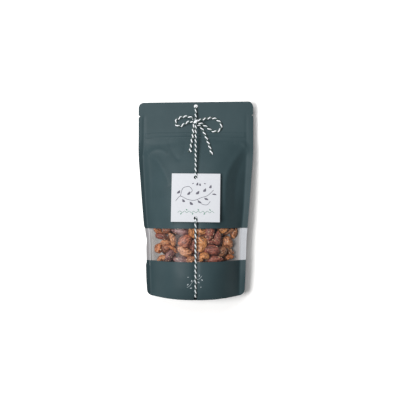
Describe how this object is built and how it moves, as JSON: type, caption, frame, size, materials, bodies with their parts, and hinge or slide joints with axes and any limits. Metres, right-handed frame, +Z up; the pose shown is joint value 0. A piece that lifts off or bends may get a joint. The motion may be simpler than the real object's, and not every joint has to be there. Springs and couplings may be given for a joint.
{
  "type": "bag of roasted mixed nuts",
  "caption": "Filled stand-up pouch of roasted mixed nuts lying on its back, with a clear window band, a press-to-close strip, a square card, and striped twine tied lengthways in a bow.",
  "frame": {"origin": "under the middle of the pouch, on the surface that it lies on", "axes": "+X to the right as its front is seen, +Y towards the pouch's top edge, +Z up, out of its front"},
  "size_m": [0.129, 0.2212, 0.0461],
  "materials": {
    "film": "matt slate-green laminate film with soft folds",
    "window_film": "clear film, light gloss, whitish where it is sealed",
    "nuts": "roasted nuts, dry, lightly salted",
    "card": "uncoated white card",
    "twine": "twisted cotton twine, white and dark green"
  },
  "bodies": {
    "root": {"pouch": "film", "window": "window_film", "nuts": "nuts", "card": "card", "twine_wrap": "twine", "bow_loop_left": "twine", "bow_loop_right": "twine", "tail_left": "twine", "tail_right": "twine"}
  },
  "joints": []
}
